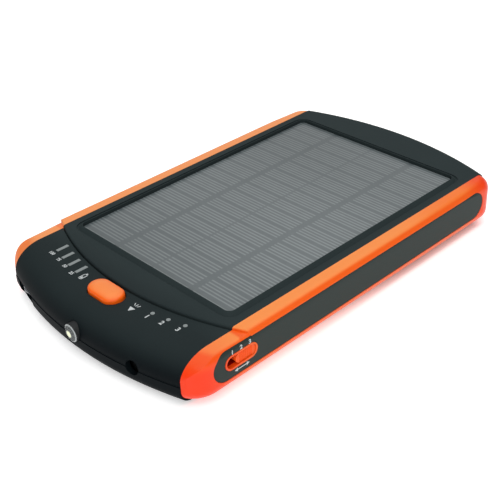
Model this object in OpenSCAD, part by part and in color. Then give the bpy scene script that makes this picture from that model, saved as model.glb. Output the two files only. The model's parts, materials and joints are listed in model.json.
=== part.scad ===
// Solar phone charger: a flat power bank with a recessed solar panel, two wrap-around side rails,
// a control end with a push button and level lights, and a nose with a USB socket, torch and DC jack.
// Millimetres. X runs across, Y along the length with the nose at -Y, Z is up.
// The origin is on the table under the middle of the charger.

/* [Case] */
// Width over the side rails
body_w = 110; // [108:1:114]
// Length from the nose face to the rear face
body_l = 184; // [180:1:190]
// Height of the deck above the table
deck_z = 20; // [20:0.5:22]
// Radius in plan of the nose
nose_r = 162; // [158:1:166]
// Radius in plan of the rear end
rear_r = 147; // [140:1:160]
// Wall thickness of the covers
wall = 1.8; // [1.6:0.1:2]
// Thickness of the side walls that the rails lie against
side_wall = 1.5; // [1.2:0.1:1.8]
// Height of the parting line between the covers
part_z = 8.6; // [8.4:0.1:8.8]
// How far the lower nose stands out past the upper nose
nose_ledge = 0.25; // [0.1:0.05:0.3]
// Radius of the lower edge of the case
edge_r = 5; // [4.5:0.25:5.5]
// Radius of the upper rear edge
rear_edge_r = 3.4; // [3:0.1:3.8]

/* [Control end] */
// Distance from the nose face to the front edge of the raised deck
control_l = 21.6; // [20:0.2:23]
// Radius in plan of the deck's front edge
deck_r = 125.4; // [122:0.2:128]
// Drop from the deck to the control end
deck_step = 1.15; // [0.8:0.05:1.5]
// Width of the rounded shoulder over the nose
shoulder_w = 12; // [10:0.5:13]
// Height of the rounded shoulder over the nose
shoulder_h = 9.2; // [8:0.2:10]
// Gap that shows as a seam in front of the deck
seam_gap = 0.3; // [0.3:0.1:0.6]
// Radius that rounds off the deck's front edge
deck_edge = 0.8; // [0.5:0.1:1]
// Thickness of the deck plate
deck_t = 2; // [1.8:0.1:2.2]

/* [Side rails] */
// Width of a rail seen from above
rail_w = 6.5; // [6:0.25:7]
// Radius of the upper outer edge of a rail
rail_r = 3.2; // [2.8:0.1:3.6]
// Radius of the right rail's upper edge in front of the step
right_front_r = 2.4; // [2:0.2:2.8]
// Radius that it grows to at the right front corner
right_cheek_r = 3; // [2.8:0.2:3.4]
// Radius of the left rail's upper edge in front of the step
left_front_r = 3.4; // [3:0.2:3.6]
// Radius that it grows to at the left front corner
left_cheek_r = 4.2; // [3.8:0.2:4.4]
// Radius that the upper edge grows to at the rear corners
rear_cheek_r = 4.4; // [4:0.2:5]
// Height of the lower face of a rail above the table
rail_z = 1.6; // [1.5:0.1:1.8]
// Radius in plan of the front corners
front_corner_r = 12; // [10:0.5:13]
// Radius in plan of the rear corners
rear_corner_r = 8; // [7:0.5:9]
// Length of a side inlay
inlay_l = 150; // [147:1:151]
// Height of a side inlay
inlay_h = 11.6; // [11.4:0.1:11.8]
// Drop from the deck to the upper edge of a side inlay
inlay_drop = 2.1; // [2:0.1:2.3]
// Thickness of a side inlay
inlay_t = 1.8; // [1.6:0.1:2]

/* [Solar panel] */
// Width of the panel opening
panel_w = 85.6; // [80:0.2:86]
// Length of the panel opening
panel_l = 127.4; // [120:0.2:128]
// Distance from the nose face to the middle of the panel
panel_from_nose = 99.3; // [98:0.1:100]
// Corner radius of the panel opening
panel_r = 2.5; // [2:0.25:4]
// Height of the lip around the panel
lip_h = 0.85; // [0.6:0.05:1]
// Width of the slope outside the lip
lip_w = 1.8; // [1.4:0.1:2]
// Depth of the panel's surface below the deck
panel_sink = 0.5; // [0.3:0.1:0.7]
// Length of a row of cells along the panel
cell_row_l = 16.4; // [14:0.2:20]
// Width of the bands on either side of the middle columns
cell_band = 2.8; // [1:0.2:4]

/* [Button and slide switch] */
// Length of the power button across the nose
button_l = 16.2; // [15.4:0.2:16.6]
// Width of the power button
button_w = 9; // [8.6:0.2:9.2]
// Height of the button's crown above the control end
button_crown = 2.3; // [2:0.1:2.5]
// Travel of the power button
button_travel = 0.5; // [0.3:0.1:0.5]
// Distance from the nose face to the middle of the button
button_from_nose = 15.8; // [15.6:0.1:16]
// Length of the slot for the slide knob
slot_l = 13.4; // [13.2:0.1:14.2]
// Height of the slot for the slide knob
slot_h = 4.6; // [4.2:0.1:5]
// Travel of the slide knob over its three positions
slide_travel = 4; // [3:0.5:4]
// Number of grip ridges on the slide knob
knob_ridges = 6; // [4:1:7]

/* [Ports] */
// Distance of the USB socket from the middle of the nose
usb_x = 37.5; // [37:0.1:38]
// Distance of the DC jack from the middle of the nose
jack_x = 29.4; // [29:0.1:30]
// Height of the DC jack above the table
jack_z = 9.2; // [9:0.1:9.4]
// Bore of the DC jack
jack_bore = 5; // [4.8:0.1:5.2]
// Diameter of the torch lens
torch_d = 7.2; // [6.8:0.2:7.6]
// Height of the torch above the table
torch_z = 10.4; // [10.2:0.1:10.6]
// How far the torch lens stands out of the nose
torch_proud = 2; // [1.6:0.2:2.4]

/* [Inside] */
// Height of the rubber feet below the case
foot_h = 1.1; // [1:0.1:1.2]
// Diameter of a rubber foot
foot_d = 8; // [7:0.5:9]
// Height of the upper face of the main board
board_z = 7.6; // [7.4:0.1:7.7]
// Thickness of the main board
board_t = 1.6; // [1.2:0.1:1.6]
// Width of a battery cell
cell_w = 28.6; // [26:0.2:29]
// Length of a battery cell
cell_l = 112; // [100:1:112]
// Thickness of a battery cell
cell_t = 6; // [5:0.1:6]

/* [Hidden] */
$fn = 48;
disc_fn = 128;
arc_steps = 14;
slop = 0.1;
far = 300;

// Places along the length and across the width
half_w = body_w / 2;
nose_y = torch_proud - (body_l + torch_proud) / 2;
rear_y = (body_l + torch_proud) / 2;
nose_axis_y = nose_y + nose_r;
rear_axis_y = rear_y - rear_r;
deck_axis_y = nose_y + control_l + deck_r;
seam_x = half_w - rail_w;
inner_x = seam_x - side_wall;
base_z = foot_h;
floor_z = base_z + wall;
control_z = deck_z - deck_step;
panel_y = nose_y + panel_from_nose;
step_y = arc_front_y(deck_axis_y, deck_r, seam_x);
step_end_y = arc_front_y(deck_axis_y, deck_r, half_w);
front_corner_x = half_w - front_corner_r;
front_corner_y = arc_front_y(nose_axis_y, nose_r - front_corner_r, front_corner_x);
rear_corner_x = half_w - rear_corner_r;
rear_corner_y = rear_axis_y + sqrt(pow(rear_r - rear_corner_r, 2) - pow(rear_corner_x, 2));
rear_wear_l = 16;

// Heights through the solar panel, from the tape up to the clear sheet
sheet_t = 0.9;
cell_film_t = 0.25;
panel_board_t = 1;
tape_t = 0.15;
panel_top_z = deck_z - panel_sink;
cells_z = panel_top_z - sheet_t - cell_film_t;
panel_board_z = cells_z - panel_board_t;
shelf_z = panel_board_z - tape_t;
shelf_t = 1.4;
shelf_w = 1.8;
panel_gap = 0.2;

// Lip and groove around the panel
lip_crest = 0.3;
groove_w = 0.7;
groove_d = 0.5;
rim_w = lip_w + groove_w;

// Section of the rim: the shelf, the inner wall, the lip's crest, its slope and the groove
panel_rim = [
    [panel_r - shelf_w, shelf_z - shelf_t],
    [panel_r - shelf_w, shelf_z],
    [panel_r, shelf_z],
    [panel_r, deck_z + lip_h],
    [panel_r + lip_crest, deck_z + lip_h],
    [panel_r + lip_w, deck_z - groove_d],
    [panel_r + rim_w + 1, deck_z - groove_d],
    [panel_r + rim_w + 1, shelf_z - shelf_t]
];

// Rails and inlays
inlay_gap = 0.15;
inlay_lead = 1.55;
inlay_face_x = half_w - 0.1;
inlay_y = front_corner_y - inlay_lead + inlay_l / 2;
inlay_z = deck_z - inlay_drop - inlay_h / 2;
pocket_x = inlay_face_x - inlay_t - slop;
channel_x = pocket_x - 2.2;
channel_z = [5.2, 16.8];

// Button
button_y = nose_y + button_from_nose;
button_gap = 0.3;
button_edge = 1.2;
button_edge_turn = 75;
button_low_z = 16;
button_flange = 1.1;
button_flange_t = 0.9;
stem_d = 4;
stem_z = 13.9;
plunger_r = 1.7;
plunger_gap = 0.2;
plunger_z = board_z + 2.4;

// Slide switch
slot_y = nose_y + 29.2;
slot_z = inlay_z + 0.3;
slot_rim = 0.7;
knob_end_gap = 0.1;
knob_l = slot_l - slide_travel - 2 * knob_end_gap;
knob_h = slot_h - 0.4;
knob_y = slot_y + slot_l / 2 - knob_end_gap - knob_l / 2;
knob_face_x = half_w - 0.25;
knob_flange_t = 0.7;
knob_flange = 0.7;
lever_w = 2;
lever_h = 1.8;
lever_x = [42, channel_x - 0.4];
lever_gap = 0.3;
switch_size = [6, 13, 6.6];

// Ports
usb_size = [13.1, 13.7, 5.7];
usb_wall = 0.35;
usb_corner_r = 0.6;
port_gap = 0.3;
usb_front_y = nose_y + 7.2;
usb_rise = 0.4;
usb_z = part_z + usb_rise - port_gap - usb_size[2] / 2;
usb_back_y = usb_front_y + usb_size[1] - usb_wall;
usb_tongue_size = [11.1, 9.5, 1.84];
tongue_rise = 0.4;
jack_front_y = nose_y + 5.4;
jack_barrel_d = 8.4;
jack_l = 13;
collar_l = 3.2;
jack_inner_d = jack_bore - 0.4;
jack_pin_d = 1.7;
jack_block = 9;
jack_hole_r = jack_bore / 2 + 0.3;

// Torch
torch_r = torch_d / 2;
torch_tip_y = nose_y - torch_proud;
torch_back_y = nose_y + 7;
torch_dome_h = 1;
torch_dome_r = (torch_r * torch_r + torch_dome_h * torch_dome_h) / (2 * torch_dome_h);
torch_pocket_r = 2.9;
torch_pocket_l = 5.4;

// Screws, feet and posts
foot_spots = [[41, nose_y + 17.5], [41, rear_y - 17.5]];
screw_spots = [[19, nose_y + 14], [30, rear_y - 11]];
screw_r = 1.1;
screw_hole_r = 1.3;
screw_head_r = 2.2;
screw_head_t = 1.3;
screw_top_z = 15.4;
post_r = 3;
foot_sink = 0.4;
head_seat_z = 3.4;
board_spots = [[-15, nose_y + 21], [15, nose_y + 21], [-20, nose_y + 37.5], [20, nose_y + 37.5]];
board_screw_r = 0.9;
board_post_r = 2.4;
board_low_z = board_z - board_t;
board_end_y = nose_y + 43;
board_front_r = nose_r - 9;

// Lights
bar_size = [1.5, 5.2];
bar_xs = [-36.4, -30.6, -24.8, -19];
bar_mid_r = deck_r + 4.4;
dot_r = 0.8;
dot_xs = [21.6, 28.4, 35.2];
dot_mid_r = deck_r + 4.2;
plug_t = 2.4;
plug_gap = 0.06;
led_size = [1.6, 2.4, 0.8];
led_back = 3;

// Battery
cell_pitch = cell_w + 0.4;
cell_y = rear_y - 19 - cell_l / 2;
cell_low_z = floor_z + 0.2;
layer_pitch = cell_t + 0.2;
cell_front_y = cell_y - cell_l / 2;
terrace_l = 4;
terrace_t = 0.5;
cell_edge_r = 1.4;
battery_board_t = 1.2;
battery_board_y = cell_front_y - 3.6;
pad_low_z = cell_low_z + layer_pitch + cell_t;

orange = [0.95, 0.42, 0.12];
charcoal = [0.17, 0.2, 0.21];
slate = [0.26, 0.28, 0.3];
metal = [0.75, 0.76, 0.78];
copper = [0.72, 0.45, 0.25];
board_green = [0.1, 0.33, 0.2];

// Points along an arc with its own radius in each direction
function arc(centre, rx, ry, from, to) = [
    for (i = [0 : arc_steps])
        let (a = from + (to - from) * i / arc_steps)
            centre + [rx * cos(a), ry * sin(a)]
];

// Y at x on the front of a circle whose middle lies at axis_y
function arc_front_y(axis_y, r, x) = axis_y - sqrt(r * r - x * x);

// Section of the nose from the floor up over the shoulder, moved in by d
function nose_section(d) = concat(
    [[0, base_z + d]],
    arc([nose_r - edge_r, base_z + edge_r], edge_r - d, edge_r - d, -90, 0),
    arc([nose_r - shoulder_w, control_z - shoulder_h], shoulder_w - d, shoulder_h - d, 0, 90),
    [[0, control_z - d]]
);

// Section of the rear end, moved in by d
function rear_section(d, top) = concat(
    [[0, base_z + d]],
    arc([rear_r - edge_r, base_z + edge_r], edge_r - d, edge_r - d, -90, 0),
    arc([rear_r - rear_edge_r, top - rear_edge_r], rear_edge_r - d, rear_edge_r - d, 0, 90),
    [[0, top - d]]
);

// Section of a rail between an inner and an outer radius or X
function rail_section(inner, outer, top, r = rail_r) = concat(
    [[inner, rail_z]],
    arc([outer - edge_r, rail_z + edge_r], edge_r, edge_r, -90, 0),
    arc([outer - r, top - r], r, r, 0, 90),
    [[inner, top]]
);

// Rectangle with true round corners
module rounded_rect(w, l, r) {
    square([w - 2 * r, l], center = true);
    square([w, l - 2 * r], center = true);
    for (x = [-1, 1], y = [-1, 1])
        translate([x * (w / 2 - r), y * (l / 2 - r)]) circle(r);
}

// Slot shape with round ends
module stadium(l, h) {
    square([l - h, h], center = true);
    for (s = [-1, 1]) translate([s * (l - h) / 2, 0]) circle(h / 2);
}

// Extrudes a shape drawn in Y and Z from x0 to x1
module across(x0, x1, y = 0, z = 0) {
    translate([x0, y, z]) rotate([90, 0, 90]) linear_extrude(x1 - x0) children();
}

// Extrudes a shape drawn in X and Z from y0 to y1
module along(y0, y1, x = 0, z = 0) {
    translate([x, y1, z]) rotate([90, 0, 0]) linear_extrude(y1 - y0) children();
}

// Box between two corners
module span(low, high) {
    translate(low) cube(high - low);
}

// Sweeps a section round a rectangle with corners of radius r: the section's X is measured from
// the corner's centre
module frame_sweep(w, l, r) {
    for (turn = [0, 180]) rotate(turn) along(r - l / 2, l / 2 - r, w / 2 - r) children();
    for (turn = [90, 270]) rotate(turn) along(r - w / 2, w / 2 - r, l / 2 - r) children();
    for (x = [-1, 1], y = [-1, 1])
        translate([x * (w / 2 - r), y * (l / 2 - r), 0])
            rotate(atan2(y, x) - 45) rotate_extrude(angle = 90) children();
}

module nose_disc(d) {
    translate([0, nose_axis_y, 0]) rotate_extrude($fn = disc_fn) polygon(nose_section(d));
}

module rear_disc(d, top) {
    translate([0, rear_axis_y, 0]) rotate_extrude($fn = disc_fn) polygon(rear_section(d, top));
}

module deck_cylinder(r, z0, z1) {
    translate([0, deck_axis_y, z0]) cylinder(r = r, h = z1 - z0, $fn = disc_fn);
}

module middle_slab(x, z0, z1) {
    span([-x, -far, z0], [x, far, z1]);
}

module at_screws(spots = screw_spots) {
    for (s = [-1, 1], p = spots) translate([s * p[0], p[1], 0]) children();
}

// Openings in the nose for the DC jack and the torch
module port_cuts() {
    front_y = torch_tip_y - 1;
    along(front_y, jack_front_y, jack_x, jack_z) circle(jack_hole_r);
    along(jack_front_y - slop, jack_front_y + 4, jack_x, jack_z) circle(jack_barrel_d / 2 + 0.2);
    along(front_y, torch_back_y + 2, 0, torch_z) circle(torch_r + 0.15);
}

// Opening in the nose for the USB socket, with a seat for it in the floor
module usb_cut() {
    along(nose_y - 1, usb_front_y + usb_size[1] + port_gap, -usb_x, usb_z)
        rounded_rect(usb_size[0] + 2 * port_gap, usb_size[2] + 2 * port_gap, usb_corner_r + port_gap);
}

// Way through the right side walls for the switch lever
module lever_window() {
    half = [slot_l, slot_h] / 2;
    span([inner_x - 1, slot_y - half[0], slot_z - half[1]],
         [seam_x + slop, slot_y + half[0], slot_z + half[1]]);
}

module bottom_cover() {
    color(charcoal)
    difference() {
        union() {
            difference() {
                intersection() {
                    translate([0, -nose_ledge, 0]) nose_disc(0);
                    rear_disc(0, deck_z);
                    middle_slab(seam_x, base_z, part_z);
                }
                intersection() {
                    nose_disc(wall);
                    rear_disc(wall, deck_z);
                    middle_slab(inner_x, 0, part_z + 1);
                }
            }
            rail_ledge();
            at_screws() span_post(post_r, base_z + slop, part_z);
            for (p = board_spots) translate(p) span_post(board_post_r, base_z + slop, board_low_z);
        }
        port_cuts();
        usb_cut();
        at_screws(foot_spots) span_post(foot_d / 2 + 0.1, base_z - 1, base_z + foot_sink);
        at_screws() {
            span_post(screw_head_r + 0.2, base_z - 1, head_seat_z);
            span_post(screw_hole_r, base_z, part_z + 1);
        }
        for (p = board_spots) translate(p) span_post(board_screw_r + 0.05, floor_z, board_z);
    }
}

module span_post(r, z0, z1) {
    translate([0, 0, z0]) cylinder(r = r, h = z1 - z0);
}

// Thin ledge of the bottom cover that the rails stand on
module rail_ledge() {
    ledge_x = half_w - edge_r + 0.3;
    for (s = [-1, 1])
        span([min(s * inner_x, s * ledge_x), front_corner_y, base_z],
             [max(s * inner_x, s * ledge_x), rear_corner_y, rail_z]);
}

module top_cover() {
    ledge_w = 2;
    ledge_t = 1.6;
    ledge_top_z = deck_z - deck_t - slop;
    color(charcoal)
    difference() {
        union() {
            difference() {
                union() {
                    intersection() {
                        difference() {
                            nose_disc(0);
                            nose_disc(wall);
                        }
                        span([-seam_x, -far, part_z], [seam_x, 0, deck_z]);
                    }
                    intersection() {
                        nose_disc(0);
                        for (s = [-1, 1]) mirror([s < 0 ? 1 : 0, 0, 0])
                            span([inner_x, nose_y, part_z], [seam_x, 0, deck_z]);
                    }
                }
                deck_cylinder(deck_r + seam_gap, 0, deck_z);
            }
            intersection() {
                difference() {
                    deck_cylinder(deck_r + seam_gap + ledge_w, ledge_top_z - ledge_t, ledge_top_z);
                    deck_cylinder(deck_r - ledge_w, 0, deck_z);
                }
                span([slop - inner_x, nose_y, 0], [inner_x - slop, 0, deck_z]);
            }
            at_screws([screw_spots[0]]) span_post(post_r, part_z, control_z - wall + slop);
        }
        usb_cut();
        port_cuts();
        lever_window();
        at_screws([screw_spots[0]]) span_post(screw_r + 0.05, part_z - 1, screw_top_z + 0.5);
        translate([0, button_y, 0]) linear_extrude(deck_z)
            stadium(button_l + 2 * button_gap, button_w + 2 * button_gap);
        light_places(bar_xs, bar_mid_r) linear_extrude(deck_z)
            square(bar_size + 2 * [plug_gap, plug_gap], center = true);
        light_places(dot_xs, dot_mid_r) cylinder(r = dot_r + plug_gap, h = deck_z);
    }
}

// Puts a light at each X, on an arc in front of the deck
module light_places(xs, r) {
    for (x = xs) translate([x, arc_front_y(deck_axis_y, r, x), 0]) children();
}

// Everything behind the arc of the deck's front edge, which is rounded
module behind_deck_front() {
    translate([0, deck_axis_y, 0]) rotate_extrude($fn = disc_fn) polygon(concat(
        [[0, 0], [deck_r, 0]],
        arc([deck_r - deck_edge, deck_z - deck_edge], deck_edge, deck_edge, 0, 90),
        [[0, deck_z]]
    ));
}

module deck_frame() {
    color(charcoal)
    difference() {
        union() {
            difference() {
                intersection() {
                    rear_disc(0, deck_z);
                    behind_deck_front();
                    middle_slab(seam_x, part_z, deck_z);
                }
                intersection() {
                    rear_disc(wall, deck_z);
                    middle_slab(inner_x, 0, deck_z - deck_t);
                }
                translate([0, panel_y, 0]) linear_extrude(deck_z + 1)
                    rounded_rect(panel_w + 2 * rim_w, panel_l + 2 * rim_w, panel_r + rim_w);
            }
            translate([0, panel_y, 0]) frame_sweep(panel_w, panel_l, panel_r) polygon(panel_rim);
            at_screws([screw_spots[1]]) span_post(post_r, part_z, deck_z - deck_t + slop);
        }
        lever_window();
        at_screws([screw_spots[1]]) span_post(screw_r + 0.05, part_z - 1, screw_top_z + 0.5);
    }
}

// Outer form of a rail, drawn on the right: a straight bar with a worn rear end, a lower bar in front of
// the step that follows the form of the nose, and two corners
module rail_form(front_r, cheek_r) {
    front_bar_y = step_end_y + 1;
    rear_bar_y = rear_corner_y - rear_wear_l;
    intersection() {
        union() {
            intersection() {
                along(step_y, rear_bar_y) polygon(rail_section(seam_x, half_w, deck_z));
                behind_deck_front();
            }
            intersection() {
                along(rear_bar_y, rear_corner_y) polygon(rail_section(seam_x, half_w, deck_z));
                edge_wear(rear_bar_y, rear_corner_y, deck_z, rail_r, rear_cheek_r);
            }
            translate([rear_corner_x, rear_corner_y, 0])
                rotate_extrude(angle = 90) polygon(rail_section(0, rear_corner_r, deck_z, rear_cheek_r));
            intersection() {
                union() {
                    intersection() {
                        along(front_corner_y, front_bar_y)
                            polygon(rail_section(seam_x, half_w, control_z, front_r));
                        edge_wear(front_bar_y, front_corner_y, control_z, front_r, cheek_r);
                    }
                    translate([front_corner_x, front_corner_y, 0]) rotate(-90) rotate_extrude(angle = 90)
                        polygon(rail_section(0, front_corner_r, control_z, cheek_r));
                }
                nose_disc(0);
            }
        }
        span([seam_x, -far, 0], [far, far, deck_z]);
    }
}

// Leaning prism that wears a rail's upper edge away, from one radius at one Y to a larger one at another
module edge_wear(from_y, to_y, top, from_r, to_r) {
    pivot = [half_w, to_y, top];
    gain = (to_r - from_r) * (1 - sqrt(0.5));
    lean = atan(gain * sqrt(2) / (from_y - to_y));
    low_x = seam_x - rail_w;
    translate(pivot) rotate(a = lean, v = [1, 0, -1]) translate(-pivot)
        along(min(from_y, to_y) - to_r, max(from_y, to_y) + to_r) polygon(concat(
            [[low_x, -deck_z], [half_w, -deck_z]],
            arc([half_w - to_r, top - to_r], to_r, to_r, 0, 90),
            [[low_x, top]]
        ));
}

module rail_right() {
    color(orange)
    difference() {
        union() {
            rail_shell(right_front_r, right_cheek_r);
            intersection() {
                across(pocket_x - slop, half_w, slot_y, slot_z)
                    stadium(slot_l + 2 * slot_rim, slot_h + 2 * slot_rim);
                rail_form(right_front_r, right_cheek_r);
            }
        }
        across(seam_x, half_w + 1, slot_y, slot_z) stadium(slot_l, slot_h);
    }
}

module rail_left() {
    color(orange) mirror([1, 0, 0]) rail_shell(left_front_r, left_cheek_r);
}

// Rail with its inner channel and the pocket for its inlay
module rail_shell(front_r, cheek_r) {
    difference() {
        rail_form(front_r, cheek_r);
        span([seam_x - 1, front_corner_y + 2, channel_z[0]], [channel_x, rear_corner_y - 2, channel_z[1]]);
        across(pocket_x, half_w + 1, inlay_y, inlay_z)
            stadium(inlay_l + 2 * inlay_gap, inlay_h + 2 * inlay_gap);
    }
}

module inlay_right() {
    color(slate)
    difference() {
        inlay_plate(right_front_r, right_cheek_r);
        across(0, half_w, slot_y, slot_z)
            stadium(slot_l + 2 * slot_rim + 2 * inlay_gap, slot_h + 2 * slot_rim + 2 * inlay_gap);
    }
}

module inlay_left() {
    color(slate) mirror([1, 0, 0]) inlay_plate(left_front_r, left_cheek_r);
}

// Plate with a flat back, whose face follows the rail just below its surface
module inlay_plate(front_r, cheek_r) {
    intersection() {
        across(inlay_face_x - inlay_t, half_w, inlay_y, inlay_z) stadium(inlay_l, inlay_h);
        translate([inlay_face_x - half_w, 0, 0]) rail_form(front_r, cheek_r);
    }
}

module rubber_feet() {
    color([0.08, 0.08, 0.08]) at_screws(foot_spots) span_post(foot_d / 2, 0, base_z + foot_sink);
}

module case_screws() {
    color(metal) at_screws() {
        span_post(screw_head_r, head_seat_z - screw_head_t, head_seat_z);
        span_post(screw_r, head_seat_z - slop, screw_top_z);
    }
}

module board_screws() {
    color(metal) for (p = board_spots) translate(p) {
        span_post(1.7, board_z, board_z + 1);
        span_post(board_screw_r, floor_z + 0.4, board_z + slop);
    }
}

// A layer of the panel, a little smaller than its opening
module panel_layer(z, t, inset = panel_gap) {
    translate([0, panel_y, z]) linear_extrude(t)
        rounded_rect(panel_w - 2 * inset, panel_l - 2 * inset, panel_r - panel_gap);
}

module panel_tape() {
    color([0.12, 0.12, 0.12])
    difference() {
        panel_layer(shelf_z, tape_t);
        panel_layer(shelf_z - 1, tape_t + 2, shelf_w + 0.2);
    }
}

module panel_board() {
    color([0.93, 0.94, 0.93]) panel_layer(panel_board_z, panel_board_t);
}

module solar_cells() {
    margin = 1.2;
    row_gap = 0.5;
    half_l = panel_l / 2 - margin;
    half = panel_w / 2 - margin;
    mid_gap = 1;
    column_w = (half - mid_gap / 2 - cell_band) / 2;
    column_xs = [mid_gap / 2, mid_gap / 2 + column_w + cell_band];
    color([0.42, 0.46, 0.47])
    for (top = [half_l : -cell_row_l : -half_l], x = column_xs, s = [-1, 1]) {
        low = max(-half_l, top - cell_row_l + row_gap);
        left = s > 0 ? x : -x - column_w;
        span([left, panel_y + low, cells_z], [left + column_w, panel_y + top, cells_z + cell_film_t]);
    }
}

module panel_sheet() {
    color([0.75, 0.8, 0.82, 0.4]) panel_layer(cells_z + cell_film_t, sheet_t);
}

// Section of the button: its side, its round edge, and a low crown that runs on from the edge
function button_section(half) =
    let (
        crown_x = half - button_edge * (1 - cos(button_edge_turn)),
        crown_h = crown_x / tan(button_edge_turn) / 2,
        rim_z = control_z + button_crown - crown_h - button_edge * sin(button_edge_turn)
    ) concat(
        [[0, button_low_z - slop], [half, button_low_z - slop]],
        arc([half - button_edge, rim_z], button_edge, button_edge, 0, button_edge_turn),
        [for (i = [arc_steps - 1 : -1 : 0])
            let (u = i / arc_steps) [crown_x * u, control_z + button_crown - crown_h * u * u]]
    );

module power_button() {
    half = button_w / 2;
    straight = button_l - button_w;
    color(orange) translate([0, button_y, 0]) {
        for (s = [0, 180]) rotate(s) {
            rotate([90, 0, 90]) translate([0, 0, -straight / 2])
                linear_extrude(straight) polygon(button_section(half));
            translate([straight / 2, 0, 0]) rotate(-90)
                rotate_extrude(angle = 180) polygon(button_section(half));
        }
        translate([0, 0, button_low_z - button_flange_t]) linear_extrude(button_flange_t)
            stadium(button_l + 2 * button_flange, button_w + 2 * button_flange);
        span_post(stem_d / 2, stem_z, button_low_z);
    }
}

module tact_switch() {
    size = [6, 6, 3.6];
    well_z = board_z + 1.5;
    color([0.15, 0.15, 0.16]) translate([0, button_y, 0])
    difference() {
        translate([-size[0] / 2, -size[1] / 2, board_z]) cube(size);
        span_post(plunger_r + plunger_gap, well_z, board_z + size[2] + 1);
    }
}

module tact_plunger() {
    color([0.25, 0.25, 0.26]) translate([0, button_y, 0]) span_post(plunger_r, plunger_z, stem_z);
}

module slide_knob() {
    ridge_pitch = (knob_l - knob_h) / knob_ridges;
    ridge_d = 0.35;
    color(orange)
    difference() {
        union() {
            across(channel_x - slop, knob_face_x, knob_y, slot_z) stadium(knob_l, knob_h);
            across(channel_x - knob_flange_t, channel_x - slop, knob_y, slot_z)
                stadium(knob_l, knob_h + 2 * knob_flange);
        }
        for (i = [0 : knob_ridges])
            translate([knob_face_x, knob_y + (i - knob_ridges / 2) * ridge_pitch, slot_z])
                rotate(45) cube([ridge_d * 2, ridge_d * 2, knob_h + 2], center = true);
        span([0, knob_y - lever_w / 2 - slop, slot_z - lever_h / 2 - slop],
             [channel_x + 1, knob_y + lever_w / 2 + slop, slot_z + lever_h / 2 + slop]);
    }
}

module switch_lever() {
    color([0.2, 0.2, 0.2])
        span([lever_x[0], knob_y - lever_w / 2, slot_z - lever_h / 2],
             [channel_x + 0.6, knob_y + lever_w / 2, slot_z + lever_h / 2]);
}

module switch_body() {
    low = [inner_x - 1.2 - switch_size[0], slot_y - switch_size[1] / 2, board_z];
    way = [lever_w, lever_h] / 2 + [lever_gap, lever_gap];
    color(metal)
    difference() {
        span(low, low + switch_size);
        span([lever_x[0] - lever_gap, knob_y - slide_travel - way[0], slot_z - way[1]],
             [inner_x, knob_y + way[0], slot_z + way[1]]);
    }
}

module light_bars() {
    color([0.85, 0.87, 0.86]) light_places(bar_xs, bar_mid_r)
        translate([0, 0, control_z - plug_t]) linear_extrude(plug_t) square(bar_size, center = true);
}

module light_dots() {
    color([0.6, 0.62, 0.62]) light_places(dot_xs, dot_mid_r)
        span_post(dot_r, control_z - plug_t, control_z);
}

module board_leds(xs, r) {
    color([0.95, 0.93, 0.8]) light_places(xs, r)
        translate([-led_size[0] / 2, -led_size[1] / 2, board_z]) cube(led_size);
}

module charge_leds() {
    board_leds(bar_xs, bar_mid_r - led_back);
}

module output_leds() {
    board_leds(dot_xs, dot_mid_r);
}

module torch_lens() {
    color([0.85, 0.9, 0.92, 0.5])
    difference() {
        intersection() {
            along(torch_tip_y - 1, torch_back_y, 0, torch_z) circle(torch_r);
            translate([0, torch_tip_y + torch_dome_r, torch_z]) sphere(torch_dome_r);
        }
        along(torch_back_y - torch_pocket_l, torch_back_y + 1, 0, torch_z) circle(torch_pocket_r);
    }
}

// Emitter on its base, with a raised die in front
module torch_emitter() {
    die = 2;
    die_gap = 0.3;
    base_t = 1.5;
    cup_y = torch_back_y - torch_pocket_l;
    color([0.95, 0.9, 0.45]) {
        along(torch_back_y + slop, torch_back_y + base_t, 0, torch_z) circle(torch_r - die_gap);
        along(cup_y + 3 * die_gap, torch_back_y + 2 * slop, 0, torch_z) circle(torch_pocket_r - die_gap);
        along(cup_y + die_gap, torch_back_y, 0, torch_z) square(die, center = true);
    }
}

module usb_shell() {
    w = usb_size[0];
    h = usb_size[2];
    color(metal)
    difference() {
        along(usb_front_y, usb_back_y + usb_wall, -usb_x, usb_z) rounded_rect(w, h, usb_corner_r);
        along(usb_front_y - 1, usb_back_y, -usb_x, usb_z)
            rounded_rect(w - 2 * usb_wall, h - 2 * usb_wall, usb_corner_r - usb_wall);
    }
}

module usb_tongue() {
    color([0.9, 0.9, 0.88])
        translate([-usb_x - usb_tongue_size[0] / 2, usb_back_y - usb_tongue_size[1], usb_z + tongue_rise])
            cube(usb_tongue_size);
}

module usb_contacts() {
    pitch = 2.3;
    size = [1, 7.5, 0.25];
    front_y = usb_back_y - usb_tongue_size[1] + 0.6;
    color([0.85, 0.68, 0.3])
    for (i = [-1.5 : 1.5])
        translate([i * pitch - usb_x - size[0] / 2, front_y, usb_z + tongue_rise - size[2]]) cube(size);
}

module jack_body() {
    back_y = jack_front_y + jack_l;
    color([0.1, 0.1, 0.1])
    difference() {
        union() {
            along(jack_front_y, back_y, jack_x, jack_z) circle(jack_barrel_d / 2);
            along(jack_front_y + 5, back_y, jack_x, jack_z) square(jack_block, center = true);
        }
        along(jack_front_y - 1, jack_front_y + collar_l, jack_x, jack_z) circle(jack_bore / 2);
        along(jack_front_y, back_y - 2.5, jack_x, jack_z) circle(jack_inner_d / 2);
        along(jack_front_y, back_y + 1, jack_x, jack_z) circle(jack_pin_d / 2 + 0.05);
    }
}

module jack_pin() {
    tip_y = jack_front_y + collar_l + 0.4;
    pin_r = jack_pin_d / 2;
    color(metal) {
        along(tip_y + pin_r, jack_front_y + jack_l, jack_x, jack_z) circle(pin_r);
        translate([jack_x, tip_y + pin_r, jack_z]) sphere(pin_r);
    }
}

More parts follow.
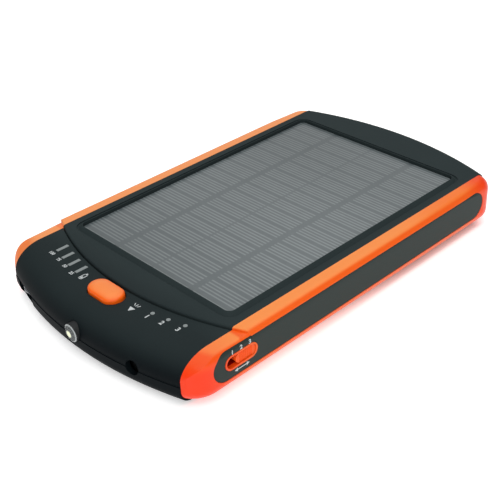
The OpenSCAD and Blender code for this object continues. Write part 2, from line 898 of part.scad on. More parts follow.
// Board that follows the nose, with notches for the two ports and holes for the posts
module main_board() {
    room = 0.5;
    usb_side = usb_x - usb_size[0] / 2 - room;
    color(board_green) translate([0, 0, board_low_z]) linear_extrude(board_t)
    difference() {
        intersection() {
            translate([0, nose_axis_y]) circle(board_front_r, $fn = disc_fn);
            translate([1 - inner_x, nose_y]) square([2 * inner_x - 2, board_end_y - nose_y]);
        }
        translate([jack_x, jack_front_y + jack_l / 2])
            square([jack_block, jack_l] + 2 * [room, room], center = true);
        translate([-inner_x, nose_y]) square([inner_x - usb_side, usb_back_y + usb_wall + room - nose_y]);
        for (s = [-1, 1]) translate([s * screw_spots[0][0], screw_spots[0][1]]) circle(post_r + room);
        for (p = board_spots) translate(p) circle(board_screw_r + 0.2);
    }
}

// Two coils, each wound between two square flanges
module power_coils() {
    coil_x = 30;
    flange_w = 11;
    flange_t = 1;
    core_d = 9.4;
    core_h = 3.4;
    color([0.22, 0.22, 0.24])
    for (s = [-1, 1]) translate([s * coil_x, board_end_y - 10, board_z]) {
        for (z = [0, flange_t + core_h])
            translate([0, 0, z]) linear_extrude(flange_t) rounded_rect(flange_w, flange_w, 1.5);
        span_post(core_d / 2, flange_t, flange_t + core_h);
    }
}

// A row of cans, each on its base
module capacitors() {
    pitch = 8;
    can_r = 3.15;
    base_t = 0.8;
    color([0.35, 0.36, 0.4])
    for (i = [-1 : 1]) translate([i * pitch, board_end_y - 15.5, board_z]) {
        span_post(can_r + 0.15, 0, base_t);
        span_post(can_r, base_t, 7);
    }
}

module converter_chips() {
    chip = [8, 6, 1.5];
    chip_x = 7;
    color([0.1, 0.1, 0.11])
    for (s = [-1, 1])
        translate([s * chip_x, board_end_y - 5, board_z + chip[2] / 2]) cube(chip, center = true);
}

// One pouch cell: a rounded slab with the thin sealed edge that its tabs come out of
module battery_cell(index) {
    column = (index - 1) % 3 - 1;
    layer = floor((index - 1) / 3);
    low = cell_low_z + layer * layer_pitch;
    color([0.78, 0.79, 0.8]) translate([column * cell_pitch, 0, low]) {
        along(cell_front_y + terrace_l, cell_y + cell_l / 2, 0, cell_t / 2)
            rounded_rect(cell_w, cell_t, cell_edge_r);
        along(cell_front_y, cell_front_y + terrace_l, 0, cell_t / 2)
            square([cell_w - 2, terrace_t], center = true);
    }
}

module cell_tabs() {
    tab = [4, cell_front_y - battery_board_y - battery_board_t, 0.3];
    color(metal)
    for (column = [-1 : 1], layer = [0, 1], s = [-1, 1])
        translate([column * cell_pitch + s * 7 - tab[0] / 2, battery_board_y + battery_board_t,
                   cell_low_z + layer * layer_pitch + (cell_t - tab[2]) / 2])
            cube(tab);
}

module battery_board() {
    half = cell_pitch + 11;
    inset = 0.6;
    color(board_green)
        span([-half, battery_board_y, cell_low_z + inset],
             [half, battery_board_y + battery_board_t, pad_low_z - inset]);
}

module battery_pads() {
    color([0.2, 0.2, 0.21])
    for (column = [-1 : 1])
        translate([column * cell_pitch - 8, cell_y - 40, pad_low_z + slop])
            cube([16, 80, panel_board_z - pad_low_z - 2 * slop]);
}

// A short insulated lead from the protection board to the main board
module battery_lead(x) {
    lead_r = 0.9;
    along(board_end_y - 6, battery_board_y, x, board_z + lead_r) circle(lead_r);
}

module battery_lead_red() {
    color([0.75, 0.1, 0.08]) battery_lead(-16);
}

module battery_lead_black() {
    color([0.05, 0.05, 0.05]) battery_lead(16);
}

// A lead that drops from the panel's backing to the main board
module panel_lead(x) {
    translate([x, board_end_y - 1.6, 0]) span_post(0.7, board_z, panel_board_z);
}

module panel_lead_red() {
    color([0.75, 0.1, 0.08]) panel_lead(-1.6);
}

module panel_lead_black() {
    color([0.05, 0.05, 0.05]) panel_lead(1.6);
}

bottom_cover();
top_cover();
deck_frame();
rail_right();
rail_left();
inlay_right();
inlay_left();
rubber_feet();
case_screws();
board_screws();
panel_board();
solar_cells();
panel_sheet();
panel_tape();
power_button();
tact_switch();
tact_plunger();
slide_knob();
switch_body();
switch_lever();
light_bars();
light_dots();
charge_leds();
output_leds();
torch_lens();
torch_emitter();
usb_shell();
usb_tongue();
usb_contacts();
jack_body();
jack_pin();
main_board();
power_coils();
capacitors();
converter_chips();
battery_cell(1);  // battery_cell_1
battery_cell(2);  // battery_cell_2
battery_cell(3);  // battery_cell_3
battery_cell(4);  // battery_cell_4
battery_cell(5);  // battery_cell_5
battery_cell(6);  // battery_cell_6
battery_board();
cell_tabs();
battery_pads();
battery_lead_red();
battery_lead_black();
panel_lead_red();
panel_lead_black();
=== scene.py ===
# %% [markdown]
# # A solar phone charger, dressed for the camera
#
# The charger is a flat power bank: a dark moulded case with a solar panel let into its deck, two orange
# rails that wrap the sides and corners, and a sloping nose with the button, the lights and the ports.
# Its solids arrive as a packed frame, in metres, with every piece already in its place. This lesson keeps
# those places. It softens the moulded edges, gives each piece its finish, and adds the printed marks.
# Sizes are written in millimetres, and `mm` turns them into metres.

import json
import math

import bmesh
import bpy
from mathutils import Matrix, Vector


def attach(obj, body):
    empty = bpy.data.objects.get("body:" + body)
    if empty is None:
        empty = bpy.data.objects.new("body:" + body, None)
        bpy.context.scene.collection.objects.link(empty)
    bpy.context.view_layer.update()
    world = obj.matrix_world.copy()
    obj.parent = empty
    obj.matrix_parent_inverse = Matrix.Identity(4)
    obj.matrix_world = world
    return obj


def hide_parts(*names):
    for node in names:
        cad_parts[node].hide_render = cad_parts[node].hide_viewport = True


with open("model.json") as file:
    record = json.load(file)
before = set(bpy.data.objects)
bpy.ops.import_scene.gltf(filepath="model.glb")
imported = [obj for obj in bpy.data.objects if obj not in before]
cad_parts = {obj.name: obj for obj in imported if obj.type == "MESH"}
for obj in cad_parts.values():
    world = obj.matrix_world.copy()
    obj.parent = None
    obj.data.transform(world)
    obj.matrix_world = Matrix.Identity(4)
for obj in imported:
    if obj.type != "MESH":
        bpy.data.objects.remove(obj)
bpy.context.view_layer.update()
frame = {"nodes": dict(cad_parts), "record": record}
scene = bpy.context.scene
mm = 0.001

# %% [markdown]
# ## Camera
#
# The view looks down on the front right corner. Direction, distance and lens were found by matching the
# corners of the deck, the rails and the panel with the picture. A tracking constraint could aim a camera,
# but this one also leans a little to one side. So its axes are built by hand: back runs from the aim to the
# camera, and right and up follow from it.

# %% Aim the camera
azimuth, elevation, lean = math.radians(47.25), math.radians(32.79), math.radians(-2.76)
aim = Vector((19.1, -22.7, 20.0)) * mm
distance_mm, lens_mm, sensor_mm = 357.4, 69.1, 36
near_m, far_m = 0.01, 200

back = Vector((
    math.sin(azimuth) * math.cos(elevation),
    -math.cos(azimuth) * math.cos(elevation),
    math.sin(elevation),
))
level_right = Vector((math.cos(azimuth), math.sin(azimuth), 0))
level_up = back.cross(level_right)
right = level_right * math.cos(lean) + level_up * math.sin(lean)
up = level_up * math.cos(lean) - level_right * math.sin(lean)

camera = bpy.data.objects.new("camera", bpy.data.cameras.new("camera"))
camera.data.lens, camera.data.sensor_width = lens_mm, sensor_mm
camera.data.clip_start, camera.data.clip_end = near_m, far_m
turn = Matrix((right, up, back)).transposed().to_4x4()
camera.matrix_world = Matrix.Translation(aim + back * distance_mm * mm) @ turn
scene.collection.objects.link(camera)
scene.camera = camera
print("camera at", [round(v, 4) for v in camera.matrix_world.translation])

# %% [markdown]
# ## Studio
#
# The picture is high key: a white floor and three large soft lights, from above, from behind and from the
# front right. Small lamps could be as bright, but they give hard shadows and sharp glints. A large square
# lamp wraps its light round the case, as a photographer's soft box does. The display curve is the plain
# one, so white paper stays white and the orange stays strong.

# %% Floor, sky and lights
floor_half_m, sky_strength = 60, 0.22
scene.view_settings.view_transform = "Standard"

floor_mesh = bpy.data.meshes.new("floor")
floor_shape = bmesh.new()
bmesh.ops.create_grid(floor_shape, x_segments=1, y_segments=1, size=floor_half_m)
floor_shape.to_mesh(floor_mesh)
floor_shape.free()
floor = bpy.data.objects.new("floor", floor_mesh)
scene.collection.objects.link(floor)

world = bpy.data.worlds.new("studio")
scene.world = world
world.use_nodes = True
sky = world.node_tree.nodes["Background"]
sky.inputs["Color"].default_value = (1, 1, 1, 1)
sky.inputs["Strength"].default_value = sky_strength


def soft_light(name, place, size, power):
    """Square area light, its place and size in metres, turned towards the charger."""
    lamp = bpy.data.lights.new(name, "AREA")
    lamp.size, lamp.energy = size, power
    lamp_object = bpy.data.objects.new(name, lamp)
    way = aim - Vector(place)
    lamp_object.matrix_world = Matrix.Translation(place) @ way.to_track_quat("-Z", "Y").to_matrix().to_4x4()
    scene.collection.objects.link(lamp_object)
    return lamp_object


lights = [
    soft_light("top_light", (0.0, 0.0, 1.0), 1.4, 7.5),
    soft_light("back_light", (-0.65, 0.6, 0.62), 1.0, 1.8),
    soft_light("front_light", (0.56, -0.52, 0.64), 1.2, 5.5),
]
print("studio:", [lamp.name for lamp in lights])

# %% [markdown]
# ## Shader maths
#
# A finish is a small network of nodes. Wiring them one by one hides the idea behind the wires, so one class
# wraps a node's output. An expression such as `1 - mask * 0.5` then adds its Math nodes by itself.

# %% Shader maths as plain expressions
class Value:
    """A node's output, or any number made from it. Arithmetic on it adds Math nodes."""

    def __init__(self, finish, socket):
        self.finish, self.socket = finish, socket

    def math(self, operation, *terms):
        """Adds one Math node."""
        return self.finish.add("ShaderNodeMath", {"operation": operation}, dict(enumerate(terms)), 0)

    def __add__(self, other):
        return self.math("ADD", self, other)

    def __sub__(self, other):
        return self.math("SUBTRACT", self, other)

    def __rsub__(self, other):
        return self.math("SUBTRACT", other, self)

    def __mul__(self, other):
        return self.math("MULTIPLY", self, other)

    def __lt__(self, other):
        return self.math("LESS_THAN", self, other)

    def __gt__(self, other):
        return self.math("GREATER_THAN", self, other)

    __radd__ = __add__
    __rmul__ = __mul__

    def size(self):
        """Distance from zero."""
        return self.math("ABSOLUTE", self)

    def wrap(self, step):
        """Distance to the nearest multiple of step."""
        return self.math("PINGPONG", self, step / 2)

    def soft(self, low, high):
        """Ramp from 0 at low to 1 at high, held flat outside."""
        return self.finish.add("ShaderNodeMapRange", {"interpolation_type": "SMOOTHSTEP"}, {
            "Value": self, "From Min": low, "From Max": high,
        }, "Result")


print("shader maths:", [name for name in vars(Value) if not name.startswith("__")])

# %% [markdown]
# ## What a finish is
#
# Each finish is one Principled shader whose colour, roughness and bump change a little over the surface, as
# those of moulded plastic do. A single flat colour would be simpler, but it looks like a drawing. The class
# makes the material, adds any kind of node by one method, and knows the patterns that come back: a slow
# drift and a fine grain. Both follow Object coordinates, so they sit still on the piece from every side.

# %% A material with its shader and patterns
class Finish:
    """One material: a Principled shader with Object coordinates ready to use."""

    def __init__(self, name, **constants):
        self.material = bpy.data.materials.new(name)
        self.material.use_nodes = True
        self.tree = self.material.node_tree
        self.shader = self.tree.nodes["Principled BSDF"]
        for socket, value in constants.items():
            self.shader.inputs[socket.replace("_", " ")].default_value = value
        self.place = self.add("ShaderNodeTexCoord", {}, {}, "Object")

    def add(self, kind, settings, values, out):
        """Adds a node: its settings first, then the values or links of its sockets. Gives one output."""
        node = self.tree.nodes.new(kind)
        for name, setting in settings.items():
            setattr(node, name, setting)
        for name, value in values.items():
            if isinstance(value, Value):
                self.tree.links.new(value.socket, node.inputs[name])
            else:
                node.inputs[name].default_value = value
        return Value(self, node.outputs[out])

    def set(self, **links):
        """Links values to sockets of the shader."""
        for socket, value in links.items():
            self.tree.links.new(value.socket, self.shader.inputs[socket.replace("_", " ")])

    def axes(self):
        """The place on the object in millimetres, as three numbers."""
        return [self.add("ShaderNodeSeparateXYZ", {}, {0: self.place}, axis) * 1000 for axis in "XYZ"]

    def noise(self, per_mm, detail=2.0, roughness=0.5):
        """Cloudy pattern between 0 and 1, with so many clouds to a millimetre."""
        return self.add("ShaderNodeTexNoise", {}, {
            "Vector": self.place, "Scale": per_mm * 1000, "Detail": detail, "Roughness": roughness,
        }, "Fac")

    def drift(self):
        """Slow change over a few centimetres."""
        return self.noise(0.05)

    def fine(self):
        """Grain of a third of a millimetre."""
        return self.noise(3.0, 3.0, 0.6)

    def blend(self, amount, first, second):
        """Colour between two colours, which may be links."""
        return self.add("ShaderNodeMix", {"data_type": "RGBA"}, {0: amount, 6: first, 7: second}, 2)

    def grain(self, height, depth_mm):
        """Bump of a depth, from a pattern between 0 and 1."""
        bump = {"Height": height, "Distance": depth_mm * mm, "Strength": 1.0}
        self.set(Normal=self.add("ShaderNodeBump", {}, bump, "Normal"))


def rgb(red, green, blue):
    """Colour from display values of 0 to 255."""
    linear = [((c / 255 + 0.055) / 1.055) ** 2.4 if c > 10 else c / 255 / 12.92 for c in (red, green, blue)]
    return (*linear, 1)


print("a finish offers:", [name for name in vars(Finish) if not name.startswith("__")])

# %% [markdown]
# ## Plain mouldings
#
# Inlays, feet, light windows, boards and leads have one colour each. The steel tool behind such a piece is
# spark eroded, which leaves a fine grain on the plastic. The grain could be modelled, but a bump from noise
# has no faces to carry and stays sharp at any distance. One function makes them all from two close shades.

# %% Mouldings of one colour
spark_mm, satin_mm = 0.01, 0.004


def moulded(name, dark, light, roughness, **constants):
    """Moulded plastic: a fine spark-eroded grain and slow drifts of colour and polish."""
    finish = Finish(name, **constants)
    drift, fine = finish.drift(), finish.fine()
    finish.set(Base_Color=finish.blend(drift, dark, light))
    finish.set(Roughness=roughness + (fine - 0.5) * 0.12 + (drift - 0.5) * 0.08)
    finish.grain(fine, spark_mm)
    return finish.material


slate = moulded("slate_inlay", rgb(38, 48, 45), rgb(43, 53, 50), 0.5, Specular_IOR_Level=0.15)
rubber = moulded("black_rubber", rgb(20, 20, 20), rgb(26, 26, 26), 0.8)
black_plastic = moulded("black_plastic", rgb(14, 14, 15), rgb(18, 18, 20), 0.55, Specular_IOR_Level=0.2)
board_mask = moulded("board_green", rgb(16, 74, 44), rgb(20, 84, 50), 0.4)
white_plastic = moulded("white_backing", rgb(228, 229, 227), rgb(238, 239, 237), 0.5)
pale_plastic = moulded("light_plastic", rgb(122, 129, 129), rgb(136, 143, 143), 0.45)
can_grey = moulded("can_grey", rgb(84, 86, 95), rgb(96, 98, 108), 0.35)
red_sleeve = moulded("lead_red", rgb(176, 22, 18), rgb(190, 28, 22), 0.4)
black_sleeve = moulded("lead_black", rgb(14, 14, 15), rgb(20, 20, 21), 0.4)
phosphor = moulded("emitter_yellow", rgb(226, 222, 70), rgb(236, 232, 100), 0.4)
ink = moulded("pale_ink", rgb(184, 190, 191), rgb(200, 205, 206), 0.6)
print("last moulding:", ink.name, "with", len(ink.node_tree.nodes), "nodes")

# %% [markdown]
# ## White paper
#
# The charger lies on white paper without a visible end. More light would whiten the paper too, but it would
# wash out the orange. So the paper glows faintly and more with the distance. Below the rear of the case it
# hardly glows at all: a painted shadow, which keeps the shadow of the narrow gap dark.

# %% Paper for the floor
def paper_finish():
    """White paper with a faint glow, which keeps it white to the horizon, and a painted shadow below the
    case.
    """
    finish = Finish("floor_paper", Specular_IOR_Level=0.1, Emission_Strength=1.0)
    near_glow, far_glow, painted_shadow_glow = [(glow, glow, glow, 1) for glow in (0.44, 0.95, 0.1)]
    x, y, _ = finish.axes()
    far = (x * x + y * y).soft(300 ** 2, 1200 ** 2)
    # painted shadow: below the rear half of the case the paper hardly glows
    painted_shadow_area = (1 - x.size().soft(53, 55.5)) * y.soft(-45, 40) * (1 - y.soft(74, 82))
    glow = finish.blend(far, near_glow, far_glow)
    fine = finish.fine()
    finish.set(Base_Color=finish.blend(fine, rgb(243, 243, 243), rgb(245, 245, 245)))
    finish.set(Emission_Color=finish.blend(painted_shadow_area, glow, painted_shadow_glow))
    finish.set(Roughness=0.8 + (fine - 0.5) * 0.1)
    return finish.material


floor_mesh.materials.append(paper_finish())
print("floor:", floor_mesh.materials[0].name)

# %% [markdown]
# ## Dark case
#
# The covers and the deck frame are charcoal plastic of one colour. Painted shade makes the control end
# darker than the deck, and the nose darker still, as less light falls there. Two materials would leave a
# hard line between the tones, so one blend follows the height and the length of the case.

# %% Charcoal
def shell_finish():
    """Dark case plastic: finely grained, with painted shade on the control end and down the nose."""
    finish = Finish("charcoal_shell", Specular_IOR_Level=0.04)
    _, y, z = finish.axes()
    drift, fine = finish.drift(), finish.fine()
    deck = finish.blend(drift, rgb(42, 51, 52), rgb(46, 55, 56))
    # painted shade: darker down the nose and on the control end, but not on the flat underside
    nose_shade_ramp = z.soft(10.5, 18.8)
    control_end_shade = 0.66 + 0.34 * y.soft(-72, -58)
    underside = 0.8 * (1 - z.soft(0.4, 2))
    lit = nose_shade_ramp * control_end_shade + underside
    finish.set(Base_Color=finish.blend(lit, rgb(10, 16, 19), deck))
    finish.set(Roughness=0.56 + (fine - 0.5) * 0.12)
    finish.grain(fine, spark_mm)
    return finish.material


charcoal = shell_finish()
print("case:", charcoal.name)

# %% [markdown]
# ## Orange rails
#
# The rails are satin orange plastic of one colour, with light and shade painted into it: pale on top,
# where the light falls, and redder down the walls and round the corners, where they lie in shade. Subsurface
# scattering would redden the walls a little, but it is slow and the export can't keep it. So the colour
# follows the place on the rail. In front of the deck the rail steps down, and its painted tones step down
# with it. The slot of the slide switch is painted deep red inside, as shade.

# %% Orange
slot_y, slot_z, slot_half_l, slot_half_h = -61.8, 12.4, 9, 4
step_z = 1.15


def orange_finish():
    """Satin orange with painted light and shade: paler on top, redder low and at corners, deep red in the
    slot.
    """
    finish = Finish("orange_shell", Coat_Weight=0.1, Coat_Roughness=0.22, Specular_IOR_Level=0.2)
    wall, wall_sheen, corner_shade_red, slot_shade_red = rgb(240, 94, 22), rgb(240, 128, 66), rgb(240, 56, 8), rgb(150, 6, 2)
    x, y, z = finish.axes()
    drift, fine = finish.drift(), finish.fine()

    # painted light and shade: the right rail's top reddens towards the rear, the left rail's top is paler as
    # painted sheen
    rear_shade_ramp = y.soft(20, 60) + (drift - 0.5) * 0.3
    right_top = finish.blend(rear_shade_ramp, rgb(246, 143, 68), rgb(246, 122, 44))
    top = finish.blend(x.soft(-50, 30), rgb(244, 150, 84), right_top)

    # painted light and shade: the walls are redder than the tops, and the left rail's upper walls carry a
    # paler painted sheen
    on_right = x.soft(-30, 30)
    left_nose = (1 - on_right) * (1 - y.soft(-74, -60))
    rise = z + 6 * left_nose
    low = finish.blend(on_right, finish.blend(rise.soft(16.5, 18.6), wall, wall_sheen), wall)
    height = z + step_z * (1 - y.soft(-62, -59))
    plain = finish.blend(height.soft(19.25, 20.05), low, top)

    # painted shade: low down round the front and rear corners the orange turns red
    high = rise.soft(13, 18.8)
    front = (1 - y.soft(-78, -56)) * (1 - high * (1 - 0.4 * on_right))
    rear = 0.85 * y.soft(64, 80) * (1 - high * (1 - on_right))
    corner_shaded = finish.blend(x.size().soft(38, 46) * (front + rear), plain, corner_shade_red)

    # painted shade: the walls inside the switch slot are deep red
    along_slot = ((y - slot_y).size() < slot_half_l) * ((z - slot_z).size() < slot_half_h)
    slot = (x < 53.2) * (x > 44) * along_slot
    finish.set(Base_Color=finish.blend(slot, corner_shaded, slot_shade_red))
    finish.set(Roughness=0.36 + (fine - 0.5) * 0.1 + (drift - 0.5) * 0.08)
    finish.grain(fine, satin_mm)
    return finish.material


orange = orange_finish()
print("rails:", orange.name, "with", len(orange.node_tree.nodes), "nodes")

# %% [markdown]
# ## Button and knob
#
# The two pieces that fingers touch are orange as well. The button carries painted light: light on its flat
# crown, where the light falls, and painted shade deep round its edge. The edge could be a material of its
# own on chosen faces, but a blend over the height needs no choice of faces and stays right when the edge is
# rounded. The small knob is one moulding colour.

# %% Orange for the button and the knob
edge_z, crown_z = 20.2, 21.1


def button_finish():
    """The button's orange with painted light: light on the crown, painted shade deeper round the edge."""
    finish = Finish("button_orange", Coat_Weight=0.15, Coat_Roughness=0.2, Specular_IOR_Level=0.25)
    _, _, z = finish.axes()
    patches, fine = finish.noise(0.12), finish.fine()
    crown = finish.blend(patches, rgb(247, 132, 56), rgb(249, 140, 66))
    # painted light and shade: pale on the crown, deep orange round the edge
    finish.set(Base_Color=finish.blend(z.soft(edge_z, crown_z), rgb(250, 98, 8), crown))
    finish.set(Roughness=0.34 + (fine - 0.5) * 0.1)
    finish.grain(fine, satin_mm)
    return finish.material


button_orange = button_finish()
knob_orange = moulded("knob_orange", rgb(238, 86, 22), rgb(242, 92, 26), 0.4, Specular_IOR_Level=0.2)
print("touched by fingers:", button_orange.name, knob_orange.name)

# %% [markdown]
# ## Plated metal
#
# The socket's shell, the screws, the contacts and the cells' foil are rolled or drawn metal. Rolling leaves
# faint lines along the length. Anisotropic gloss would show them, but it needs tangents on every mesh. Noise
# that a Mapping node stretches along the length changes the polish in the same way.

# %% Steel, gold and foil
def plated(name, colour, roughness):
    """Plated metal with a faint drawn texture along the length."""
    finish = Finish(name, Metallic=1.0)
    stretch = finish.add("ShaderNodeMapping", {}, {"Vector": finish.place, "Scale": (1, 0.08, 1)}, "Vector")
    lines = finish.add("ShaderNodeTexNoise", {}, {"Vector": stretch, "Scale": 4000.0, "Detail": 2.0}, "Fac")
    finish.set(Roughness=roughness + (lines - 0.5) * 0.15)
    finish.set(Base_Color=finish.blend(lines, [c * 0.9 for c in colour[:3]] + [1], colour))
    return finish.material


steel = plated("plated_steel", rgb(214, 216, 220), 0.28)
gold = plated("contact_gold", rgb(226, 188, 104), 0.3)
foil = plated("pouch_foil", rgb(206, 208, 210), 0.4)
print("metals:", [metal.name for metal in (steel, gold, foil)])

# %% [markdown]
# ## The solar panel's face
#
# Under a clear, slightly frosted sheet lie four columns of grey cells. Wide plain bands part the outer
# columns from the inner ones, and a thin line runs down the middle. Fine silver fingers cross every cell,
# by turns five and four together, with a gap between the groups where the cell's bar lies. All of this
# is a pattern on Object coordinates, so it sits still on the panel from every side. An image could show
# the same, but a pattern stays sharp at any distance and its sizes can be read in the code.

# %% Panel pattern
row_l, five_y = 16.65, 1.7
finger_step, finger_core, finger_edge = 1.59, 0.14, 0.5
fives_end, fours_start = 4, 5.1
band_x, band_w, band_blur = 21.25, 2.8, 0.3


def fingers(distance):
    """Soft bright lines, one at every finger step."""
    return 1 - distance.wrap(finger_step).soft(finger_core, finger_edge)


def panel_finish():
    """Cells and fingers beneath a frosted sheet, with painted sheen that is lighter in the middle and to the
    right.
    """
    finish = Finish("panel_face", Coat_Weight=0.25, Coat_Roughness=0.12)
    x, y, _ = finish.axes()
    from_five = (y - five_y).wrap(row_l)
    from_four = from_five - (row_l - finger_step) / 2
    fives = fingers(from_five) * (from_five < fives_end)
    fours = fingers(from_four) * (from_five > fours_start)
    band = 1 - (x.size() - band_x).size().soft(band_w / 2 - band_blur, band_w / 2 + band_blur)
    middle = 1 - x.size().soft(0.35, 0.8)
    silver_share = (fives + fours) * (1 - band) * (1 - middle * 0.7)
    mottle = finish.noise(0.25, 3.0)
    # random mottle of the cells plus painted sheen, lighter to the right and in the middle of the length
    mottle_and_sheen = 0.35 * mottle + 0.35 * x.soft(-45, 45) + 0.3 * (1 - (y + 4).size().soft(5, 62))
    cell = finish.blend(mottle_and_sheen, rgb(64, 73, 75), rgb(100, 108, 110))
    silver = finish.blend(mottle_and_sheen, rgb(93, 101, 102), rgb(131, 138, 139))
    finish.set(Base_Color=finish.blend(silver_share, cell, silver))
    finish.set(Roughness=0.38 + (mottle - 0.5) * 0.1)
    finish.grain(finish.noise(1.5), 0.006)
    return finish.material


panel_face = panel_finish()
print("panel rows of", row_l, "mm, fingers every", finger_step, "mm")

# %% [markdown]
# ## Torch
#
# The torch is a clear domed lens over a yellow die in a cup, and painted shade darkens both die and cup.
# True refraction would need many bounces of light for a few pixels. So the lens is a thin see-through skin:
# nearly clear on its face, with a painted highlight on its rim and painted shade round its side, and with
# the die drawn on the dome, because a dome brings the die forward like that.

# %% Lens and emitter
torch_z, nose_y = 10.4, -91


def from_torch_axis(x, z):
    """Squared distance from the torch's axis, in square millimetres."""
    return x * x + (z - torch_z) * (z - torch_z)


def lens_finish():
    """Clear lens with a painted highlight rim and a painted shade sleeve. Its dome brings the die to the
    middle.
    """
    finish = Finish("lens_clear", IOR=1.49)
    x, y, z = finish.axes()
    out = from_torch_axis(x, z)
    die = (1 - out.soft(0.9, 2.6)) * (y < nose_y)
    # painted highlight on the rim, painted shade on the sleeve round the side
    rim = out.soft(8.0, 10.0) * (1 - out.soft(11.6, 12.4))
    sleeve = out.soft(12.2, 12.8)
    glass = finish.blend(die, rgb(214, 220, 220), rgb(250, 254, 214))
    finish.set(Base_Color=finish.blend(sleeve, glass, rgb(14, 18, 20)))
    finish.set(Alpha=0.16 + 0.8 * die + 0.4 * rim + 0.8 * sleeve)
    finish.set(Roughness=0.05 + finish.noise(0.5) * 0.04 + 0.6 * sleeve)
    return finish.material


def emitter_finish():
    """Torch emitter: a phosphor die in the middle of a cup, both dimmed by painted shade."""
    finish = Finish("torch_face")
    x, _, z = finish.axes()
    # painted shade: the die and its cup are much darker than bare phosphor, as deep in the pocket
    cup = from_torch_axis(x, z).soft(1.0, 2.2)
    finish.set(Base_Color=finish.blend(cup, rgb(96, 98, 58), rgb(36, 40, 40)))
    finish.set(Roughness=0.4 + finish.noise(2.0) * 0.1)
    return finish.material


clear_lens = lens_finish()
torch_face = emitter_finish()
print("torch:", clear_lens.name, torch_face.name)

# %% [markdown]
# ## Moulded pieces
#
# The frame's solids have crisp corners, because that is how they fit together. A real moulding has none:
# every edge is rounded by the tool. A copy of a node's mesh is welded, its flat regions are merged into
# single faces and slivers are taken out. A Bevel modifier then rounds what is still sharp. Subdivision would
# round the edges too, but it pulls in the flat faces. The width is the most that an edge gets: the modifier
# stops where the shortest edges of a piece leave no more room. The copy stands for the node.

# %% Weld, merge and round a node
slots = {s["node"]: s["material_slot"] for s in frame["record"]["subparts"]}
body_of = {n: body for body, names in frame["record"]["behaviour"]["bodies"].items() for n in names}
weld_mm, sliver_mm = 0.002, 0.02
flat_angle, sharp_angle = math.radians(0.4), math.radians(28)


def rounded(node, finish, edge_mm, segments=3):
    """Copy of a node with rounded edges, riding on the node's body in its place."""
    mesh = frame["nodes"][node].data.copy()
    shape = bmesh.new()
    shape.from_mesh(mesh)
    bmesh.ops.remove_doubles(shape, verts=shape.verts, dist=weld_mm * mm)
    bmesh.ops.dissolve_limit(
        shape, angle_limit=flat_angle, use_dissolve_boundaries=False, verts=shape.verts, edges=shape.edges,
    )
    bmesh.ops.dissolve_degenerate(shape, dist=sliver_mm * mm, edges=shape.edges)
    for face in shape.faces:
        face.smooth = True
    shape.to_mesh(mesh)
    shape.free()
    mesh.set_sharp_from_angle(angle=sharp_angle)
    mesh.materials.clear()
    mesh.materials.append(finish)
    piece = bpy.data.objects.new(node + "_moulding", mesh)
    scene.collection.objects.link(piece)
    bevel = piece.modifiers.new("rounded_edges", "BEVEL")
    bevel.width, bevel.segments, bevel.profile, bevel.material = edge_mm * mm, segments, 0.5, -1
    bevel.limit_method, bevel.angle_limit = "ANGLE", sharp_angle
    bevel.harden_normals = True
    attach(piece, body_of[node])
    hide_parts(node)
    return piece


# %% Round the pieces that show
shells = [
    rounded("top_cover", charcoal, 0.2),
    rounded("deck_frame", charcoal, 0.25),
    rounded("bottom_cover", charcoal, 0.15),
    rounded("rail_right", orange, 0.25),
    rounded("rail_left", orange, 0.25),
    rounded("inlay_right", slate, 0.2),
    rounded("inlay_left", slate, 0.2),
    rounded("power_button", button_orange, 0.4, 5),
    rounded("slide_knob", knob_orange, 0.08, 2),
    rounded("panel_sheet", panel_face, 0.15),
    rounded("torch_lens", clear_lens, 0.1),
    rounded("usb_shell", steel, 0.06, 2),
    rounded("jack_body", black_plastic, 0.1, 2),
]
print("moulded:", [piece.name for piece in shells])

# %% [markdown]
# ## Plain pieces
#
# What the case hides, and the small trim, keeps its solid as it is and only gets its finish. These pieces
# could be copied and rounded too, but their edges are out of sight or too small to show it.

# %% Finish the other nodes
finish_of_slot = {
    "charcoal_shell": charcoal, "orange_shell": orange, "slate_inlay": slate, "black_rubber": rubber,
    "black_plastic": black_plastic, "board_green": board_mask, "white_backing": white_plastic,
    "light_plastic": pale_plastic, "can_grey": can_grey, "lead_red": red_sleeve, "lead_black": black_sleeve,
    "emitter_yellow": phosphor, "plated_steel": steel, "contact_gold": gold, "pouch_foil": foil,
    "cell_grey": panel_face, "clear_sheet": panel_face, "lens_clear": clear_lens,
}
own_finish = {"torch_emitter": torch_face}
for node, node_object in frame["nodes"].items():
    node_object.data.materials.clear()
    node_object.data.materials.append(own_finish.get(node, finish_of_slot[slots[node]]))
print("finished:", len(frame["nodes"]), "nodes")

# %% [markdown]
# ## Printed marks
#
# Pad printing leaves a film of ink a few hundredths of a millimetre thick. A mask in the plastic's material
# could draw it, but real letters are sharper and keep their own polish. Each character starts as a text
# curve and becomes a mesh before it is put in place. The little signs are built from boxes and prisms.
# Two meshes hold all of it: one on the control end, one on the right side inlay.

# %% Tools for printing
ink_t = 0.04 * mm


def letters(shape, words, height_mm, place):
    """Adds characters, centred on a place. Their thickness straddles the surface."""
    curve = bpy.data.curves.new("letters", "FONT")
    curve.body, curve.size, curve.extrude = words, height_mm * mm, ink_t / 2
    curve.offset = 0.03 * height_mm * mm
    curve.align_x, curve.align_y = "CENTER", "CENTER"
    holder = bpy.data.objects.new("letters", curve)
    mesh = bpy.data.meshes.new_from_object(holder)
    mesh.transform(place)
    shape.from_mesh(mesh)
    bpy.data.objects.remove(holder)
    bpy.data.curves.remove(curve)
    bpy.data.meshes.remove(mesh)


def shifted(at_mm, turn):
    """Step across the surface, then a turn in degrees."""
    step = Matrix.Translation((at_mm[0] * mm, at_mm[1] * mm, 0))
    return step @ Matrix.Rotation(math.radians(turn), 4, "Z")


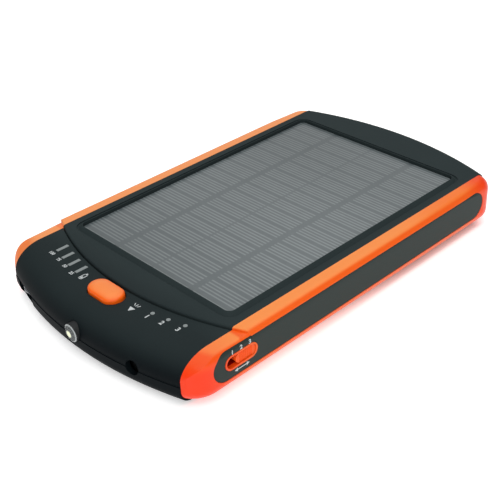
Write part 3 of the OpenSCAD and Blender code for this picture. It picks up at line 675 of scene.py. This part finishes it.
def stroke(shape, size_mm, place, at_mm=(0, 0), turn=0.0):
    """Adds a bar of ink, at an offset from a place."""
    scale = Matrix.Diagonal((size_mm[0] * mm, size_mm[1] * mm, ink_t, 1))
    bmesh.ops.create_cube(shape, size=1, matrix=place @ shifted(at_mm, turn) @ scale)


def triangle(shape, radius_mm, place, at_mm, turn):
    """Adds a filled triangle of ink, whose tip points along the surface's second axis before its turn."""
    bmesh.ops.create_cone(
        shape, cap_ends=True, segments=3, radius1=radius_mm * mm, radius2=radius_mm * mm,
        depth=ink_t, matrix=place @ shifted(at_mm, turn),
    )


def printed(name, shape):
    """Welds the marks, turns their faces outwards and makes one piece of them, fixed to the case."""
    bmesh.ops.remove_doubles(shape, verts=shape.verts, dist=0.001 * mm)
    bmesh.ops.recalc_face_normals(shape, faces=shape.faces)
    mesh = bpy.data.meshes.new(name)
    shape.to_mesh(mesh)
    shape.free()
    mesh.materials.append(ink)
    piece = bpy.data.objects.new(name, mesh)
    scene.collection.objects.link(piece)
    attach(piece, "case")
    return piece


print("ink film:", round(ink_t / mm, 3), "mm")

# %% Print the control end
control_z, level_h, output_h, line_w = 18.85, 2.0, 2.8, 0.35


def on_top(x, y, turn=0):
    """Place on the control end, with a turn in degrees."""
    return Matrix.Translation((0, 0, control_z * mm)) @ shifted((x, y), turn)


top_print = bmesh.new()
levels = {"100": (-36.5, -73.4), "75": (-30.8, -74.3), "50": (-25.4, -75.3), "25": (-19.7, -76.4)}
for words, (x, y) in levels.items():
    letters(top_print, words, level_h, on_top(x, y))
for number, (x, y) in enumerate([(21.6, -74.3), (28.1, -73.2), (34.9, -71.8)], 1):
    letters(top_print, str(number), output_h, on_top(x, y))

battery = on_top(-14.6, -74.8, 90)
for side in (-1, 1):
    stroke(top_print, (3.4, line_w), battery, (0, side * 0.75))
    stroke(top_print, (line_w, 1.85), battery, (side * 1.55, 0))
stroke(top_print, (0.5, 0.8), battery, (1.95, 0))
stroke(top_print, (1.1, 0.8), battery, (-0.65, 0))

torch = on_top(14.1, -74.5, 90)
triangle(top_print, 1.5, torch, (-0.7, 0), 90)
for ray in (-35, 0, 35):
    stroke(top_print, (1.4, 0.3), torch, (1.9, ray * 0.03), ray)

control_marks = printed("control_marks", top_print)
print("printed:", control_marks.name, len(control_marks.data.polygons), "faces")

# %% Print the side inlay
inlay_face_x, side_h, number_z, arrow_z = 54.9, 2.4, 16.35, 8.2


def on_side(y, z):
    """Place on the right inlay, with its letters upright."""
    upright = Matrix(((0, 0, 1, 0), (1, 0, 0, 0), (0, 1, 0, 0), (0, 0, 0, 1)))
    return Matrix.Translation((inlay_face_x * mm, y * mm, z * mm)) @ upright


side_print = bmesh.new()
for number, y in enumerate([slot_y - 4, slot_y, slot_y + 4], 1):
    letters(side_print, str(number), side_h, on_side(y, number_z))
arrow = on_side(slot_y, arrow_z)
stroke(side_print, (4.2, 0.4), arrow)
for side in (-1, 1):
    triangle(side_print, 0.9, arrow, (side * 2.5, 0), -90 * side)

side_marks = printed("side_marks", side_print)
print("printed:", side_marks.name, len(side_marks.data.polygons), "faces")

# %% [markdown]
